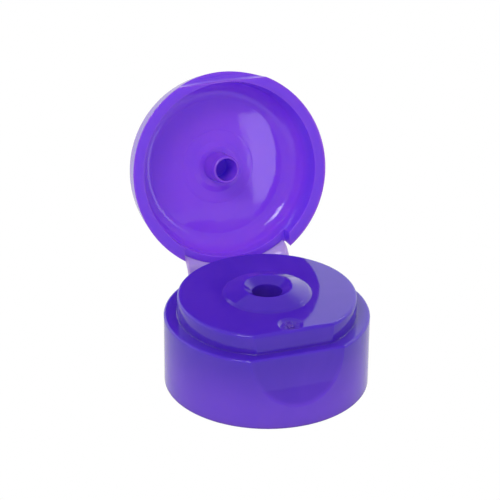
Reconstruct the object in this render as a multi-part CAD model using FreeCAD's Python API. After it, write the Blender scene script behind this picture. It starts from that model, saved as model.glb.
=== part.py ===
import FreeCAD, Part
import math
import os

# One-piece flip-top dispensing closure, lid standing open.
# The base stands on its skirt at z = 0 with its axis on Z, the hinge is at +Y, the thumb recess at -Y.
# Lengths in millimetres, angles in degrees.

V = FreeCAD.Vector
CROWN = None                 # in an outline, marks a gently crowned run between two corners

# Outer skirt of the base
skirt_radius = 19.0
skirt_height = 13.7          # from the standing rim up to the ledge that the lid lands on
skirt_wall = 1.2
skirt_round = 0.4            # rounding of the skirt's upper edge and of the recess's
ledge_thickness = 1.5
ledge_width = 2.4

# Raised deck inside the ledge
collar_height = 3.7
collar_taper = 0.1           # how much smaller the radius is at the top
collar_wall = 1.25
flat_inset = 1.6             # the front of the collar is cut flat this far inside its round
flat_lean = 0.4              # how much further back the flat is at the level of the deck
flat_round = 0.9
flat_overshoot = 0.2         # the rounding above the flat runs out this far above the deck's edge
deck_rise = 0.3              # crown of the deck at its middle
deck_thickness = 1.4

# Spout in the middle of the deck
boss_radius = 8.2
boss_shoulder = 0.55         # width of the steep band at the foot of the boss
boss_shoulder_height = 0.38
lip_radius = 4.45
lip_height = 1.65            # above the edge of the deck
orifice_radius = 2.77
orifice_depth = 1.1          # from the lip down to the straight bore
spout_tube_wall = 1.13
spout_tube_length = 1.4      # below the underside of the deck

# Bore seal and threaded skirt, which take the neck of the bottle
seal_radius = 8.8
seal_wall = 0.9
seal_taper = 0.2             # each side of the seal leans in by this much towards its lip
seal_length = 2.6
thread_radius = 12.15        # root of the thread
thread_wall = 1.2
thread_inset = 1.0           # the threaded skirt ends this far above the standing rim
thread_relief_height = 2.8
thread_relief = 0.75

# Gate dimple on the deck
gate_radius = 2.3
gate_depth = 0.5
gate_inset = 3.9             # from the edge of the collar to the middle of the dimple

# Thumb recess in the front of the skirt
recess_depth = 2.2
recess_height = 9.6

# Lid, in its closed place
lid_clearance = 0.3          # between the collar and the inside of the lid
seat_gap = 0.05              # between the ledge and the rim of the closed lid
lid_height = 10.0
lid_draft = 8.0
lid_shoulder_radius = 5.2
lid_crown_rise = 0.25
lid_crown_flat = 0.6         # radius of the flat spot in the middle of the crown
lid_roof = 1.7
lid_inner_taper = 0.6
lid_inner_fillet = 3.1

# Plug under the roof of the lid, which shuts the orifice
plug_clearance = 0.1
plug_tip_height = 2.5        # above the rim of the lid
plug_tip_taper = 0.13
plug_band_start = 3.6
plug_band_end = 4.2
plug_root_radius = 2.85
plug_bore_radius = 2.15
plug_bore_taper = 0.2
plug_bore_roof = 0.5
foot_radius = 3.9            # low flared foot round the plug
foot_flare = 1.0
foot_height = 0.35
pad_radius = 7.0             # thin round pad that the foot stands on
pad_height = 0.06

# Finger scallop in the front of the lid's rim
scallop_land = 0.05          # rim left between the inside of the lid and the scallop
scallop_height = 2.2

# Hinge
hinge_inset = 1.4            # from the outside of the skirt to the hinge axis
hinge_rise = 1.85            # above the ledge
opening = 106.8              # how far the lid stands open
notch_half_width = 10.5
notch_height = 3.0
strap_side_gap = 0.3
strap_end_gap = 0.2
strap_inset = 0.72           # from the outside of the skirt to the middle of the strap
strap_thickness = 0.46
strap_foot_depth = 0.7       # the strap's foot stands this far below the ledge
strap_foot_clearance = 0.15
strap_stations = 11

# Edge roundings
deck_edge_round = 0.5
boss_round = 0.35
lip_round = 0.45
plug_tip_round = 0.3

# Heights and radii that follow from the sizes above
collar_radius = skirt_radius - ledge_width
collar_top = skirt_height + collar_height
collar_top_radius = collar_radius - collar_taper
deck_underside = collar_top - deck_thickness
lid_rim = skirt_height + seat_gap
gate_distance = collar_radius - gate_inset
recess_radius = (recess_height ** 2 + recess_depth ** 2) / (2 * recess_depth)
recess_y = recess_depth - skirt_radius - recess_radius
lid_inner_radius = collar_radius + lid_clearance
strap_radius = skirt_radius - strap_inset
strap_foot = skirt_height - strap_foot_depth
hinge_axis = V(0, skirt_radius - hinge_inset, skirt_height + hinge_rise)


def corner_arc(before, corner, after):
    """Start, middle and end of the fillet arc on one corner (radius, height, fillet)."""
    point = V(corner[0], 0, corner[1])
    if corner[2] == 0:
        return point, point, point
    back = (V(before[0], 0, before[1]) - point).normalize()
    ahead = (V(after[0], 0, after[1]) - point).normalize()
    half_angle = back.getAngle(ahead) / 2
    cut = corner[2] / math.tan(half_angle)
    inward = (back + ahead).normalize()
    middle = point + inward * (corner[2] / math.sin(half_angle) - corner[2])
    return point + back * cut, middle, point + ahead * cut


def crown_arc(start, end):
    """Arc between two points whose centre lies on the axis, so that it revolves into part of a ball."""
    centre_height = (start.z + end.z) / 2 + (start.x ** 2 - end.x ** 2) / (2 * (start.z - end.z))
    centre = V(0, 0, centre_height)
    circle = Part.Circle(centre, V(0, 1, 0), (start - centre).Length)
    angles = sorted((circle.parameter(start), circle.parameter(end)))
    return Part.ArcOfCircle(circle, *angles).toShape()


def rounded_outline(corners):
    """Closed wire in the XZ plane through (radius, height, fillet) corners.

    Where the fillet is CROWN, the corner is where the end tangents of a crown arc meet.
    """
    count = len(corners)
    arcs = []
    for i in range(count):
        sharp = (*corners[i][:2], corners[i][2] or 0)
        arcs.append(corner_arc(corners[i - 1], sharp, corners[(i + 1) % count]))
    edges = []
    for i in range(count):
        start, middle, end = arcs[i]
        following = (i + 1) % count
        if corners[i][2] is CROWN:
            edges.append(crown_arc(arcs[i - 1][2], arcs[following][0]))
            continue
        if corners[i][2] > 0:
            edges.append(Part.Arc(start, middle, end).toShape())
        if corners[following][2] is not CROWN:
            edges.append(Part.LineSegment(end, arcs[following][0]).toShape())
    return Part.Wire(edges)


def revolved(corners):
    """Solid of revolution about Z."""
    face = Part.Face(rounded_outline(corners))
    return face.revolve(V(0, 0, 0), V(0, 0, 1), 360)


def cylinder_along_x(radius, y, z):
    """Long cylinder whose axis runs along X."""
    return Part.makeCylinder(radius, 4 * skirt_radius, V(-2 * skirt_radius, y, z), V(1, 0, 0))


def line_edges(points):
    """Straight edges from each point to the next."""
    return [Part.LineSegment(*pair).toShape() for pair in zip(points, points[1:])]


def prism_along_x(edges):
    """Long prism along X, whose outline is drawn in the XZ plane with x standing for y."""
    face = Part.Face(Part.Wire(edges))
    face.translate(V(0, -2 * skirt_radius, 0))
    prism = face.extrude(V(0, 4 * skirt_radius, 0))
    prism.rotate(V(0, 0, 0), V(0, 0, 1), 90)
    return prism


def deck_height(radius):
    """Height of the crowned deck at a distance from the axis."""
    return collar_top + deck_rise * (1 - (radius / collar_top_radius) ** 2)


def base_corners():
    """Half section of the base, round from the foot of the skirt over the deck and back inside."""
    dome_mid = (boss_radius + collar_top_radius) / 2
    dome_mid_height = collar_top + deck_rise * (1 - boss_radius / collar_top_radius)
    lip_top = collar_top + lip_height
    tube_radius = orifice_radius + spout_tube_wall
    tube_end = deck_underside - spout_tube_length
    seal_end = deck_underside - seal_length
    thread_top = deck_underside - thread_relief_height
    inside_collar = collar_radius - collar_wall
    ledge_underside = skirt_height - ledge_thickness
    inside_skirt = skirt_radius - skirt_wall
    outside = [
        (skirt_radius, 0, 0),
        (skirt_radius, skirt_height, skirt_round),
        (collar_radius, skirt_height, 0),
        (collar_top_radius, collar_top, deck_edge_round),
        (dome_mid, dome_mid_height, CROWN),
        (boss_radius, deck_height(boss_radius), 0),
        (boss_radius - boss_shoulder, deck_height(boss_radius) + boss_shoulder_height, boss_round),
        (lip_radius, lip_top, lip_round),
        (orifice_radius, lip_top - orifice_depth, 0),
    ]
    inside = [
        (orifice_radius, tube_end, 0),
        (tube_radius, tube_end, 0),
        (tube_radius, deck_underside, 0),
        (seal_radius - seal_wall, deck_underside, 0),
        (seal_radius - seal_wall + seal_taper, seal_end, 0),
        (seal_radius - seal_taper, seal_end, 0),
        (seal_radius, deck_underside, 0),
        (thread_radius - thread_relief, deck_underside, 0),
        (thread_radius, thread_top, 0),
        (thread_radius, thread_inset, 0),
        (thread_radius + thread_wall, thread_inset, 0),
        (thread_radius + thread_wall, deck_underside, 0),
        (inside_collar, deck_underside, 0),
        (inside_collar, ledge_underside, 0),
        (inside_skirt, ledge_underside, 0),
        (inside_skirt, 0, 0),
    ]
    return outside + inside


def collar_flat():
    """Prism that cuts the front of the collar flat and rounds the flat over into the deck."""
    foot = V(flat_inset - collar_radius, 0, skirt_height)
    corner = (foot.x + flat_lean, collar_top + flat_overshoot, flat_round)
    start, middle, end = corner_arc((foot.x, foot.z), corner, (0, corner[1]))
    above = end + V(0, 0, flat_round)
    far = V(-2 * skirt_radius, 0, above.z)
    low = V(far.x, 0, foot.z)
    rounding = Part.Arc(start, middle, end).toShape()
    return prism_along_x([rounding, *line_edges([end, above, far, low, foot, start])])


def flat_backing():
    """Wall that the collar carries inside, behind its flat."""
    within = Part.makeCylinder(collar_radius - collar_wall / 2, collar_top - deck_thickness / 2)
    front = flat_inset - collar_radius + collar_wall
    low = skirt_height - ledge_thickness
    corner = V(-skirt_radius, front - skirt_radius, low)
    return within.common(Part.makeBox(2 * skirt_radius, skirt_radius, collar_top, corner))


def thumb_recess():
    """Prism that hollows the front of the skirt and rounds the upper edge of the hollow."""
    up = V(0, 0, 1)
    centre = V(recess_y, 0, skirt_height)
    reach = math.sqrt((recess_radius + skirt_round) ** 2 - skirt_round ** 2)
    round_centre = centre + V(reach, 0, -skirt_round)
    outward = (round_centre - centre).normalize()
    joint = centre + outward * recess_radius
    edge = round_centre + up * skirt_round
    bottom = centre - up * recess_radius
    hollow_middle = centre + (outward - up).normalize() * recess_radius
    round_middle = round_centre + (up - outward).normalize() * skirt_round
    hollow = Part.Arc(bottom, hollow_middle, joint).toShape()
    rounding = Part.Arc(joint, round_middle, edge).toShape()
    above = up * recess_height
    return prism_along_x([hollow, rounding, *line_edges([edge, edge + above, centre + above, bottom])])


def recess_backing():
    """Wall that the skirt carries inside, behind the thumb recess."""
    within = Part.makeCylinder(skirt_radius - skirt_wall / 2, skirt_height - ledge_thickness / 2)
    return within.common(cylinder_along_x(recess_radius + skirt_wall, recess_y, skirt_height))


def gate_dimple():
    """Ball that leaves a shallow round dimple in the deck."""
    radius = (gate_radius ** 2 + gate_depth ** 2) / (2 * gate_depth)
    height = deck_height(gate_distance) - gate_depth + radius
    return Part.makeSphere(radius, V(0, -gate_distance, height), V(1, 0, 0))


def strap_rebate():
    """Step at the back of the ledge, on which the hinge strap stands, with ends that point at the axis."""
    inside = strap_radius - strap_thickness / 2 - strap_foot_clearance
    half_angle = math.degrees(math.asin(notch_half_width / inside))
    corner = V(inside, 0, strap_foot)
    side = V(skirt_radius, 0, 0)
    height = V(0, 0, 2 * strap_foot_depth)
    outline = Part.makePolygon([corner, corner + side, corner + side + height, corner + height, corner])
    step = Part.Face(outline).revolve(V(0, 0, 0), V(0, 0, 1), 2 * half_angle)
    step.rotate(V(0, 0, 0), V(0, 0, 1), 90 - half_angle)
    return step


def closure_body():
    """Base: skirt, ledge, deck and spout, with the thread skirt and seals inside."""
    body = revolved(base_corners()).fuse([recess_backing(), flat_backing()])
    for tool in (collar_flat(), thumb_recess(), gate_dimple(), strap_rebate()):
        body = body.cut(tool)
    return body.removeSplitter()


def lid_corners():
    """Half section of the closed lid, from its rim over the crown and back inside to the plug."""
    top = lid_rim + lid_height
    shoulder = top - lid_crown_rise
    shoulder_radius = skirt_radius - lid_height * math.tan(math.radians(lid_draft))
    roof = top - lid_roof
    plug_radius = orifice_radius - plug_clearance
    foot_top = roof - foot_height
    crown_edge = shoulder_radius - lid_shoulder_radius * math.tan(math.radians(90 - lid_draft) / 2)
    outside = [
        (skirt_radius, lid_rim, 0),
        (shoulder_radius, shoulder, lid_shoulder_radius),
        ((crown_edge + lid_crown_flat) / 2, top, CROWN),
        (lid_crown_flat, top, 0),
        (0, top, 0),
    ]
    plug = [
        (0, roof + plug_bore_roof, 0),
        (plug_bore_radius - plug_bore_taper, roof + plug_bore_roof, 0),
        (plug_bore_radius, lid_rim + plug_tip_height, 0),
        (plug_radius - plug_tip_taper, lid_rim + plug_tip_height, plug_tip_round),
        (plug_radius, lid_rim + plug_band_start, 0),
        (plug_radius, lid_rim + plug_band_end, 0),
        (plug_root_radius, foot_top, 0),
        (foot_radius, foot_top, 0),
        (foot_radius + foot_flare, roof - pad_height, 0),
    ]
    inside = [
        (pad_radius, roof - pad_height, 0),
        (pad_radius + pad_height, roof, 0),
        (lid_inner_radius - lid_inner_taper, roof, lid_inner_fillet),
        (lid_inner_radius, lid_rim, 0),
    ]
    return outside + plug + inside


def finger_scallop():
    """Cylinder that hollows the front of the lid's outer rim."""
    wall = skirt_radius - scallop_height * math.tan(math.radians(lid_draft))
    chord = lid_inner_radius + scallop_land
    depth = wall - chord
    radius = (scallop_height ** 2 + depth ** 2) / (2 * depth)
    return cylinder_along_x(radius, -chord - radius, lid_rim)


def hinge_notch():
    """Window in the back of the lid's wall, through which the strap passes."""
    inside = math.sqrt(lid_inner_radius ** 2 - notch_half_width ** 2) - skirt_wall
    corner = V(-notch_half_width, inside, lid_rim - notch_height)
    return Part.makeBox(2 * notch_half_width, skirt_radius, 2 * notch_height, corner)


def opened(shape):
    """The same shape turned about the hinge from its closed place to its open one."""
    turned = shape.copy()
    turned.rotate(hinge_axis, V(1, 0, 0), -opening)
    return turned


def flip_lid():
    """Domed lid with its hollow plug, standing open."""
    lid = revolved(lid_corners()).cut(finger_scallop()).cut(hinge_notch())
    return opened(lid.removeSplitter())


def strap_section(x):
    """Closed outline of the flexed strap at one station across its width."""
    y = math.sqrt(strap_radius ** 2 - x ** 2)
    turn = FreeCAD.Rotation(V(1, 0, 0), -opening)
    closed_end = V(x, y, lid_rim + notch_height - strap_end_gap)
    foot = V(x, y, strap_foot)
    end = hinge_axis + turn.multVec(closed_end - hinge_axis)
    half_turn = math.radians(opening) / 2
    reach = (end - foot).Length * 2 / 3 * math.tan(half_turn / 2) / math.sin(half_turn)
    spread = strap_thickness / 2 * 4 / 3 * math.tan(half_turn / 2)
    curves = []
    for side in (1, -1):
        start = foot + V(0, side * strap_thickness / 2, 0)
        stop = end + turn.multVec(V(0, side * strap_thickness / 2, 0))
        handle = reach - side * spread
        curve = Part.BezierCurve()
        curve.setPoles([start, start + V(0, 0, handle), stop - turn.multVec(V(0, 0, handle)), stop])
        curves.append(curve)
    outer, inner = curves
    edges = [
        outer.toShape(),
        Part.LineSegment(outer.EndPoint, inner.EndPoint).toShape(),
        inner.toShape(),
        Part.LineSegment(inner.StartPoint, outer.StartPoint).toShape(),
    ]
    return Part.Wire(Part.__sortEdges__(edges))


def hinge_strap():
    """Flexed film strap between the base and the open lid."""
    half_width = notch_half_width - strap_side_gap
    step = 2 * half_width / (strap_stations - 1)
    sections = [strap_section(-half_width + i * step) for i in range(strap_stations)]
    return Part.makeLoft(sections, True, False)


def main():
    os.makedirs("parts", exist_ok=True)
    for build in (closure_body, hinge_strap, flip_lid):
        build().exportStep(f"parts/{build.__name__}.step")


main()
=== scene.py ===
import bpy
import bmesh
import math
import random
from mathutils import Matrix, Vector


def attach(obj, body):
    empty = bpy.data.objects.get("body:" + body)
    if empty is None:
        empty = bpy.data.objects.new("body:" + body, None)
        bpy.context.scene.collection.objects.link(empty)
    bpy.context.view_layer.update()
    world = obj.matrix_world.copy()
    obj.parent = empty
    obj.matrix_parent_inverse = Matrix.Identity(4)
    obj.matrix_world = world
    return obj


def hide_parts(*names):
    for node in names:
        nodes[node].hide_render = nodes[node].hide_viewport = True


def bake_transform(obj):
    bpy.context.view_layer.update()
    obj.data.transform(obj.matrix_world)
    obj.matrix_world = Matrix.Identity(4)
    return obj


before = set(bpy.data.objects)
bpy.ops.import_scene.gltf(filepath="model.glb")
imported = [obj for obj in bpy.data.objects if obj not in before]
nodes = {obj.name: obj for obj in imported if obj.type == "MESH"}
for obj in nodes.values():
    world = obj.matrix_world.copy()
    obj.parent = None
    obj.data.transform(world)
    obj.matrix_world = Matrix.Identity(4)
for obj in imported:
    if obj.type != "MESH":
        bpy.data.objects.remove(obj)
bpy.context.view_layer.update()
mm = 0.001
print("frame loaded:", sorted(nodes))


def directionOf(azimuth, elevation):
    turn, lift = math.radians(azimuth), math.radians(elevation)
    return Vector((math.sin(turn) * math.cos(lift), -math.cos(turn) * math.cos(lift), math.sin(lift)))


# view: the camera stands front left of the closure and looks down on it
view = {
    "azimuth": -19.2,         # degrees round the object from the front
    "elevation": 26.73,
    "distance": 390 * mm,
    "target": (-3.003 * mm, 1.046 * mm, 26.33 * mm),
    "roll": -0.40,
    "lens": 154.66,
    "sensor": 36,
    "clip": (0.01, 10),
}


def makeCamera():
    back = directionOf(view["azimuth"], view["elevation"])
    azimuth = math.radians(view["azimuth"])
    right = Vector((math.cos(azimuth), math.sin(azimuth), 0))
    roll = Matrix.Rotation(math.radians(-view["roll"]), 3, "Z")
    turn = Matrix((right, back.cross(right), back)).transposed() @ roll
    data = bpy.data.cameras.new("camera")
    data.lens = view["lens"]
    data.sensor_width = view["sensor"]
    data.clip_start, data.clip_end = view["clip"]
    camera = bpy.data.objects.new("camera", data)
    bpy.context.scene.collection.objects.link(camera)
    camera.matrix_world = Matrix.Translation(Vector(view["target"]) + back * view["distance"]) @ turn.to_4x4()
    bpy.context.scene.camera = camera


makeCamera()
print("camera set")


def addNode(tree, kind, **settings):
    made = tree.nodes.new(kind)
    for key, value in settings.items():
        setattr(made, key, value)
    return made


def feed(tree, socket, value):
    if isinstance(value, bpy.types.NodeSocket):
        tree.links.new(value, socket)
    else:
        socket.default_value = value


def mathOf(tree, operation, first, second):
    made = addNode(tree, "ShaderNodeMath", operation=operation)
    feed(tree, made.inputs[0], first)
    feed(tree, made.inputs[1], second)
    return made.outputs[0]


def ramp(tree, value, start, end, low=0.0, high=1.0):
    made = addNode(tree, "ShaderNodeMapRange", interpolation_type="SMOOTHSTEP")
    values = {"Value": value, "From Min": start, "From Max": end, "To Min": low, "To Max": high}
    for name, number in values.items():
        feed(tree, made.inputs[name], number)
    return made.outputs["Result"]


def lightOf(tree, kind, strength):
    made = addNode(tree, kind)
    made.inputs["Color"].default_value = (1, 1, 1, 1)
    feed(tree, made.inputs["Strength"], strength)
    return made.outputs[0]


def mixByRay(tree, plain, gloss, white):
    path = addNode(tree, "ShaderNodeLightPath")
    direct = mathOf(tree, "MAXIMUM", path.outputs["Is Camera Ray"], path.outputs["Is Transmission Ray"])
    for ray, shader in ((path.outputs["Is Glossy Ray"], gloss), (direct, white)):
        mix = addNode(tree, "ShaderNodeMixShader")
        for socket, value in zip(mix.inputs, (ray, plain, shader)):
            feed(tree, socket, value)
        plain = mix.outputs[0]
    return plain


# studio: white surroundings that gloss sees dimmer in front and overhead, over a plain pale floor
studio = {
    "ambient": 0.62,          # what the surroundings add to the object's own colour
    "whiteBack": 1.32,        # what gloss sees behind the closure
    "dimFront": 0.42,         # what gloss sees on the camera's side
    "dimTop": 0.36,           # what gloss sees overhead
    "backFade": (-0.35, 0.25),
    "topFade": (0.5, 0.8),
    "floorSize": 3.0,
    "floorTone": 0.8,
    "floorGloss": 0.75,
    "centre": (0, 0.01, 0.025),
    "lampDistance": 0.6,
}
# lamps: azimuth and elevation in degrees, width and height, power
lamps = {
    "keyBox": (-46, 50, (0.24, 0.16), 1.0),
    "stripBox": (31.4, 6.5, (0.125, 0.26), 0.2),
    "blobBox": (120, 42, (0.07, 0.07), 0.12),
}


def makeWorld():
    world = bpy.data.worlds.new("studio")
    bpy.context.scene.world = world
    world.use_nodes = True
    tree = world.node_tree
    tree.nodes.clear()
    split = addNode(tree, "ShaderNodeSeparateXYZ")
    feed(tree, split.inputs[0], addNode(tree, "ShaderNodeTexCoord").outputs["Generated"])
    fade = ramp(tree, split.outputs["Y"], *studio["backFade"], studio["dimFront"], studio["whiteBack"])
    gloss = ramp(tree, split.outputs["Z"], *studio["topFade"], fade, studio["dimTop"])
    lights = [lightOf(tree, "ShaderNodeBackground", strength) for strength in (studio["ambient"], gloss, 1)]
    feed(tree, addNode(tree, "ShaderNodeOutputWorld").inputs[0], mixByRay(tree, *lights))


def makeFloor():
    mesh = bpy.data.meshes.new("floor")
    bm = bmesh.new()
    bmesh.ops.create_grid(bm, x_segments=1, y_segments=1, size=studio["floorSize"] / 2)
    bm.to_mesh(mesh)
    bm.free()
    floor = bpy.data.objects.new("floor", mesh)
    bpy.context.scene.collection.objects.link(floor)
    mat = bpy.data.materials.new("paleFloor")
    mat.use_nodes = True
    tree = mat.node_tree
    tree.nodes.clear()
    matt = addNode(tree, "ShaderNodeBsdfDiffuse")
    matt.inputs["Color"].default_value = (*[studio["floorTone"]] * 3, 1)
    lights = [lightOf(tree, "ShaderNodeEmission", strength) for strength in (studio["floorGloss"], 1)]
    feed(tree, addNode(tree, "ShaderNodeOutputMaterial").inputs[0], mixByRay(tree, matt.outputs[0], *lights))
    mesh.materials.append(mat)


def addLamp(name, azimuth, elevation, size, power):
    away = directionOf(azimuth, elevation)
    data = bpy.data.lights.new(name, "AREA")
    data.shape = "RECTANGLE"
    data.size, data.size_y = size
    data.energy = power
    lamp = bpy.data.objects.new(name, data)
    bpy.context.scene.collection.objects.link(lamp)
    lamp.location = Vector(studio["centre"]) + away * studio["lampDistance"]
    lamp.rotation_euler = away.to_track_quat("Z", "Y").to_euler()


makeWorld()
makeFloor()
for lampName, lampValues in lamps.items():
    addLamp(lampName, *lampValues)
print("studio set")


# plastic: translucent violet polypropylene, faintly clouded, with a gently uneven gloss
plastics = {
    "bodyPlastic": {"pale": (0.190, 0.058, 0.77), "deep": (0.070, 0.016, 0.52), "scatter": 0.75, "depth": 2.4 * mm},
    # painted light: the lid is the body's violet painted paler, standing in for light through its thin walls
    "lidPlasticPaintedLight": {"pale": (0.350, 0.088, 0.94), "deep": (0.215, 0.064, 0.86), "scatter": 0.85, "depth": 4.0 * mm},
    # painted light: the strap's pale lavender stands in for the white backdrop showing through the thin film
    "strapPlasticPaintedGlow": {"pale": (0.60, 0.46, 0.90), "deep": (0.50, 0.36, 0.86), "scatter": 0.8, "depth": 2.0 * mm},
}
# scales count per metre
finish = {
    "gloss": 0.05,            # roughness of the polished skin
    "glossSpread": 0.04,
    "grainScale": 900,
    "grainRange": (0.35, 0.75),
    "cloudScale": 90,
    "cloudBend": 1.2,
    "cloudShare": 0.25,
    "waveScale": 230,
    "waveHeight": 0.012 * mm,
    "rippleScale": 520,
    "rippleHeight": 0.022 * mm,
    "edgeRadius": 0.26 * mm,  # softens the look of edges that the solids leave sharp
    "scatterColour": (0.5, 0.35, 1.0),
}
# painted light and shade: the skirt is painted palest at its foot and deeper up to the deck, and everything set in
# from its outer skin, the thumb scoop included, is painted deeper still
bodyTone = {
    "footToDeck": (2 * mm, 15 * mm),
    "skin": (18.55 * mm, 18.97 * mm),
    "paintedScoopShade": 0.5,
}
gateMark = {
    "centre": (0, -12.7 * mm, 17.1 * mm),
    "fade": (0.84 * mm, 2.1 * mm),
    "scale": 700,
    "bend": 1.5,
    "height": 0.5 * mm,
}
# the lid is judged in turned axes that start at the middle of its open rim; its roof bulges very slightly
lidTone = {
    "rimCentre": (0, 20.92 * mm, 32.93 * mm),
    "tilt": 73.2,
    # painted light: the lid is painted deep at its rim and paler towards its roof
    "rimToRoof": (-1.5 * mm, -6.5 * mm),
    "roofDepth": 9.2 * mm,
    "bulge": 110 * mm,
    "bulgeRadius": 13 * mm,
}


def noiseOf(tree, place, scale, detail, distortion=0.0):
    made = addNode(tree, "ShaderNodeTexNoise")
    made.inputs["Scale"].default_value = scale
    made.inputs["Detail"].default_value = detail
    made.inputs["Distortion"].default_value = distortion
    tree.links.new(place, made.inputs["Vector"])
    return made.outputs["Fac"]


def distanceOf(tree, place, centre):
    made = addNode(tree, "ShaderNodeVectorMath", operation="DISTANCE")
    tree.links.new(place, made.inputs[0])
    made.inputs[1].default_value = centre
    return made.outputs["Value"]


def heightAndAcross(tree, place):
    split = addNode(tree, "ShaderNodeSeparateXYZ")
    across = addNode(tree, "ShaderNodeCombineXYZ")
    tree.links.new(place, split.inputs[0])
    tree.links.new(split.outputs["X"], across.inputs["X"])
    tree.links.new(split.outputs["Y"], across.inputs["Y"])
    return split.outputs["Z"], across.outputs[0]


def addClouds(tree, tone, clouds):
    return mathOf(tree, "ADD", tone, mathOf(tree, "MULTIPLY", clouds, finish["cloudShare"]))


def gateRoughness(tree, place):
    near = ramp(tree, distanceOf(tree, place, gateMark["centre"]), *gateMark["fade"], 1, 0)
    rough = noiseOf(tree, place, gateMark["scale"], 4, gateMark["bend"])
    return mathOf(tree, "MULTIPLY", mathOf(tree, "MULTIPLY", rough, near), gateMark["height"])


def bodyDetail(tree, place, clouds, relief):
    height, across = heightAndAcross(tree, place)
    # painted shade: set in from the outer skin, the thumb scoop included, the tone is cut to a share
    skin = ramp(tree, distanceOf(tree, across, (0, 0, 0)), *bodyTone["skin"], bodyTone["paintedScoopShade"], 1)
    # painted light: the skirt's foot is painted pale, fading to the deep tone at the deck
    paintedFootLight = ramp(tree, height, *bodyTone["footToDeck"], 1 - finish["cloudShare"], 0)
    tone = addClouds(tree, mathOf(tree, "MULTIPLY", paintedFootLight, skin), clouds)
    return tone, mathOf(tree, "ADD", relief, gateRoughness(tree, place))


def roofBulge(tree, height, across):
    inside = mathOf(tree, "GREATER_THAN", height, -lidTone["roofDepth"])
    radius = mathOf(tree, "MINIMUM", distanceOf(tree, across, (0, 0, 0)), lidTone["bulgeRadius"])
    rise = mathOf(tree, "SUBTRACT", lidTone["bulgeRadius"] ** 2, mathOf(tree, "MULTIPLY", radius, radius))
    return mathOf(tree, "MULTIPLY", mathOf(tree, "DIVIDE", rise, 2 * lidTone["bulge"]), inside)


def lidDetail(tree, place, clouds, relief):
    turned = addNode(tree, "ShaderNodeMapping", vector_type="TEXTURE")
    turned.inputs["Location"].default_value = lidTone["rimCentre"]
    turned.inputs["Rotation"].default_value = (math.radians(lidTone["tilt"]), 0, 0)
    tree.links.new(place, turned.inputs["Vector"])
    height, across = heightAndAcross(tree, turned.outputs[0])
    ripples = mathOf(tree, "MULTIPLY", noiseOf(tree, place, finish["rippleScale"], 2), finish["rippleHeight"])
    relief = mathOf(tree, "ADD", mathOf(tree, "ADD", relief, ripples), roofBulge(tree, height, across))
    # painted light: the tone rises from the rim to the roof
    paintedRoofLight = ramp(tree, height, *lidTone["rimToRoof"], 0, 1 - finish["cloudShare"])
    return addClouds(tree, paintedRoofLight, clouds), relief


def strapDetail(tree, place, clouds, relief):
    return clouds, relief


details = {"bodyPlastic": bodyDetail, "lidPlasticPaintedLight": lidDetail, "strapPlasticPaintedGlow": strapDetail}


def skinNormal(tree, relief):
    edges = addNode(tree, "ShaderNodeBevel", samples=6)
    edges.inputs["Radius"].default_value = finish["edgeRadius"]
    bump = addNode(tree, "ShaderNodeBump")
    bump.inputs["Distance"].default_value = 1
    tree.links.new(edges.outputs["Normal"], bump.inputs["Normal"])
    tree.links.new(relief, bump.inputs["Height"])
    return bump.outputs["Normal"]


def makePlastic(name):
    values = plastics[name]
    mat = bpy.data.materials.new(name)
    mat.use_nodes = True
    tree = mat.node_tree
    shader = tree.nodes["Principled BSDF"]
    place = addNode(tree, "ShaderNodeTexCoord").outputs["Object"]
    clouds = noiseOf(tree, place, finish["cloudScale"], 3, finish["cloudBend"])
    waves = mathOf(tree, "MULTIPLY", noiseOf(tree, place, finish["waveScale"], 1), finish["waveHeight"])
    clouds, relief = details[name](tree, place, clouds, waves)
    tone = addNode(tree, "ShaderNodeMix", data_type="RGBA")
    tone.inputs["A"].default_value = (*values["deep"], 1)
    tone.inputs["B"].default_value = (*values["pale"], 1)
    tree.links.new(clouds, tone.inputs["Factor"])
    grain = noiseOf(tree, place, finish["grainScale"], 5)
    rough = ramp(tree, grain, *finish["grainRange"], finish["gloss"], finish["gloss"] + finish["glossSpread"])
    tree.links.new(tone.outputs["Result"], shader.inputs["Base Color"])
    tree.links.new(rough, shader.inputs["Roughness"])
    tree.links.new(skinNormal(tree, relief), shader.inputs["Normal"])
    shader.inputs["Subsurface Weight"].default_value = values["scatter"]
    shader.inputs["Subsurface Radius"].default_value = finish["scatterColour"]
    shader.inputs["Subsurface Scale"].default_value = values["depth"]
    return mat


made = {name: makePlastic(name) for name in plastics}
for name, material in (("closure_body", "bodyPlastic"), ("flip_lid", "lidPlasticPaintedLight")):
    for slot in nodes[name].material_slots:
        slot.material = made[material]
print("plastics made")


def finishPiece(name, bm, material, body):
    weld = 0.001 * mm
    bmesh.ops.remove_doubles(bm, verts=bm.verts, dist=weld)
    bmesh.ops.recalc_face_normals(bm, faces=bm.faces)
    mesh = bpy.data.meshes.new(name)
    bm.to_mesh(mesh)
    bm.free()
    mesh.materials.append(made[material])
    for face in mesh.polygons:
        face.use_smooth = True
    piece = bpy.data.objects.new(name, mesh)
    bpy.context.scene.collection.objects.link(piece)
    if body:
        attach(piece, body)
    return piece


# hinge strap: a flexed film that grows out of the base's step and runs into the lid's notch
strap = {
    "radius": 18.28 * mm,     # of the middle of the film, seen from above
    "halfWidth": 10.2 * mm,
    "thickness": 0.46 * mm,
    "foot": 13.0 * mm,
    "top": 16.75 * mm,        # where the film ends in the closed lid
    "axis": (0, 17.6 * mm, 15.55 * mm),
    "opening": 106.8,
    "acrossSteps": 48,
    "alongSteps": 20,
    "edgeRound": 0.1 * mm,
    "edgeShare": 0.99,        # of the half width, past which an edge belongs to a side
    "edgeAngle": 1,
    "bendLean": (0, 0.75, 0.66),
    "bendStart": 0.05 * mm,
    "bendEnd": 1.17 * mm,
}


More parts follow.
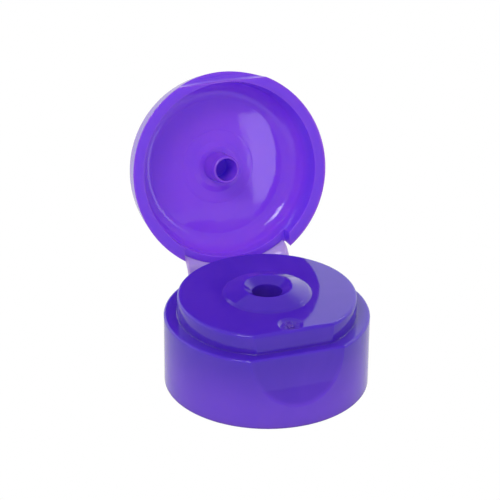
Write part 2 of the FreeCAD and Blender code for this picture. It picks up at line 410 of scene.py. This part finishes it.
def strapPoint(x, along):
    turn = Matrix.Rotation(-math.radians(strap["opening"]), 3, "X")
    axis = Vector(strap["axis"])
    y = math.sqrt(strap["radius"] ** 2 - x ** 2)
    foot = Vector((x, y, strap["foot"]))
    end = axis + turn @ (Vector((x, y, strap["top"])) - axis)
    half = math.radians(strap["opening"]) / 2
    reach = (end - foot).length * 2 / 3 * math.tan(half / 2) / math.sin(half)
    spread = strap["thickness"] / 2 * 4 / 3 * math.tan(half / 2)
    outward = Vector((0, strap["thickness"] / 2, 0))
    rise = Vector((0, 0, reach - spread))
    start, stop = foot + outward, end + turn @ outward
    poles = (start, start + rise, stop - turn @ rise, stop)
    weights = ((1 - along) ** 3, 3 * along * (1 - along) ** 2, 3 * along ** 2 * (1 - along), along ** 3)
    return sum((pole * weight for pole, weight in zip(poles, weights)), Vector())


def isStrapSide(edge):
    if not edge.is_manifold or edge.calc_face_angle() <= strap["edgeAngle"]:
        return False
    return all(abs(vert.co.x) > strap["edgeShare"] * strap["halfWidth"] for vert in edge.verts)


def makeStrap():
    bm = bmesh.new()
    bmesh.ops.create_grid(bm, x_segments=strap["acrossSteps"], y_segments=strap["alongSteps"], size=1)
    for vert in bm.verts:
        vert.co = strapPoint(vert.co.x * strap["halfWidth"], (vert.co.y + 1) / 2)
    bmesh.ops.recalc_face_normals(bm, faces=bm.faces)
    outward = sum(face.normal.y for face in bm.faces) > 0
    bmesh.ops.solidify(bm, geom=bm.faces[:], thickness=strap["thickness"] * (1 if outward else -1))
    bm.normal_update()
    sides = [edge for edge in bm.edges if isStrapSide(edge)]
    bmesh.ops.bevel(bm, geom=sides, offset=strap["edgeRound"], segments=2, profile=0.5, affect="EDGES", material=-1)
    piece = finishPiece("hingeStrap", bm, "strapPlasticPaintedGlow", None)
    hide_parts("hinge_strap")
    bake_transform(piece)


makeStrap()
print("strap made")


# neck thread: a right-handed bead inside the base, which fades into the wall at both ends
thread = {
    "wall": 12.25 * mm,       # a little inside the skirt, so that the bead is rooted in it
    "crest": 11.15 * mm,
    "rootHalf": 0.85 * mm,
    "crestHalf": 0.35 * mm,
    "pitch": 3.175 * mm,
    "start": 3.2 * mm,
    "sweep": 620,
    "steps": 124,
    "fade": 45,
    "sink": 0.95,             # how far the bead's ends go back to the wall
}


def fadeThread(vert):
    turned = math.degrees(math.atan2(vert.co.y, vert.co.x)) % 360
    lap = round(((vert.co.z - thread["start"]) / thread["pitch"] * 360 - turned) / 360)
    travel = turned + 360 * lap
    left = min(travel, thread["sweep"] - travel) / thread["fade"]
    sunk = 1 - min(1, max(0, left))
    radius = math.hypot(vert.co.x, vert.co.y)
    scale = (radius + (thread["wall"] - radius) * sunk ** 2 * thread["sink"]) / radius
    vert.co.x *= scale
    vert.co.y *= scale


def makeThread():
    bm = bmesh.new()
    outline = [(thread["wall"], -thread["rootHalf"]), (thread["crest"], -thread["crestHalf"]),
               (thread["crest"], thread["crestHalf"]), (thread["wall"], thread["rootHalf"])]
    corners = [bm.verts.new((radius, 0, thread["start"] + height)) for radius, height in outline]
    face = bm.faces.new(corners)
    rise = thread["pitch"] * thread["sweep"] / 360 / thread["steps"]
    bmesh.ops.spin(bm, geom=[face, *face.edges, *face.verts], cent=(0, 0, 0), axis=(0, 0, 1), dvec=(0, 0, rise),
                   angle=math.radians(thread["sweep"]), steps=thread["steps"], use_duplicate=False)
    for vert in bm.verts:
        fadeThread(vert)
    finishPiece("neckThread", bm, "bodyPlastic", "base")


makeThread()
print("thread made")


# gate vestige: the torn stub in the dimple on the deck
stub = {
    "centre": (0, -12.7 * mm, 17.0 * mm),
    "baseRadius": 0.85 * mm,
    "topRadius": 0.5 * mm,
    "height": 0.42 * mm,
    "sunk": 0.1 * mm,
    "segments": 28,
    "insets": (0.18 * mm, 0.14 * mm),
    "tear": 0.16 * mm,
    "tearRange": (-1, 0.6),
    "spread": (0.85, 1.12),
    "seed": 7,
}


def makeStub():
    random.seed(stub["seed"])
    bm = bmesh.new()
    bmesh.ops.create_cone(bm, cap_ends=True, segments=stub["segments"], radius1=stub["baseRadius"],
                          radius2=stub["topRadius"], depth=stub["height"])
    bm.faces.ensure_lookup_table()
    top = max(bm.faces, key=lambda face: face.calc_center_median().z)
    for inset in stub["insets"]:
        bmesh.ops.inset_region(bm, faces=[top], thickness=inset)
    for vert in bm.verts:
        if vert.co.z > 0:
            vert.co.z += random.uniform(*stub["tearRange"]) * stub["tear"]
            vert.co.x *= random.uniform(*stub["spread"])
            vert.co.y *= random.uniform(*stub["spread"])
    lift = Vector((0, 0, stub["height"] / 2 - stub["sunk"]))
    bmesh.ops.translate(bm, verts=bm.verts, vec=Vector(stub["centre"]) + lift)
    bmesh.ops.triangulate(bm, faces=[face for face in bm.faces if len(face.verts) > 4])
    finishPiece("gateStub", bm, "bodyPlastic", "base")


makeStub()
print("gate stub made")


bpy.context.scene.view_settings.view_transform = "Standard"
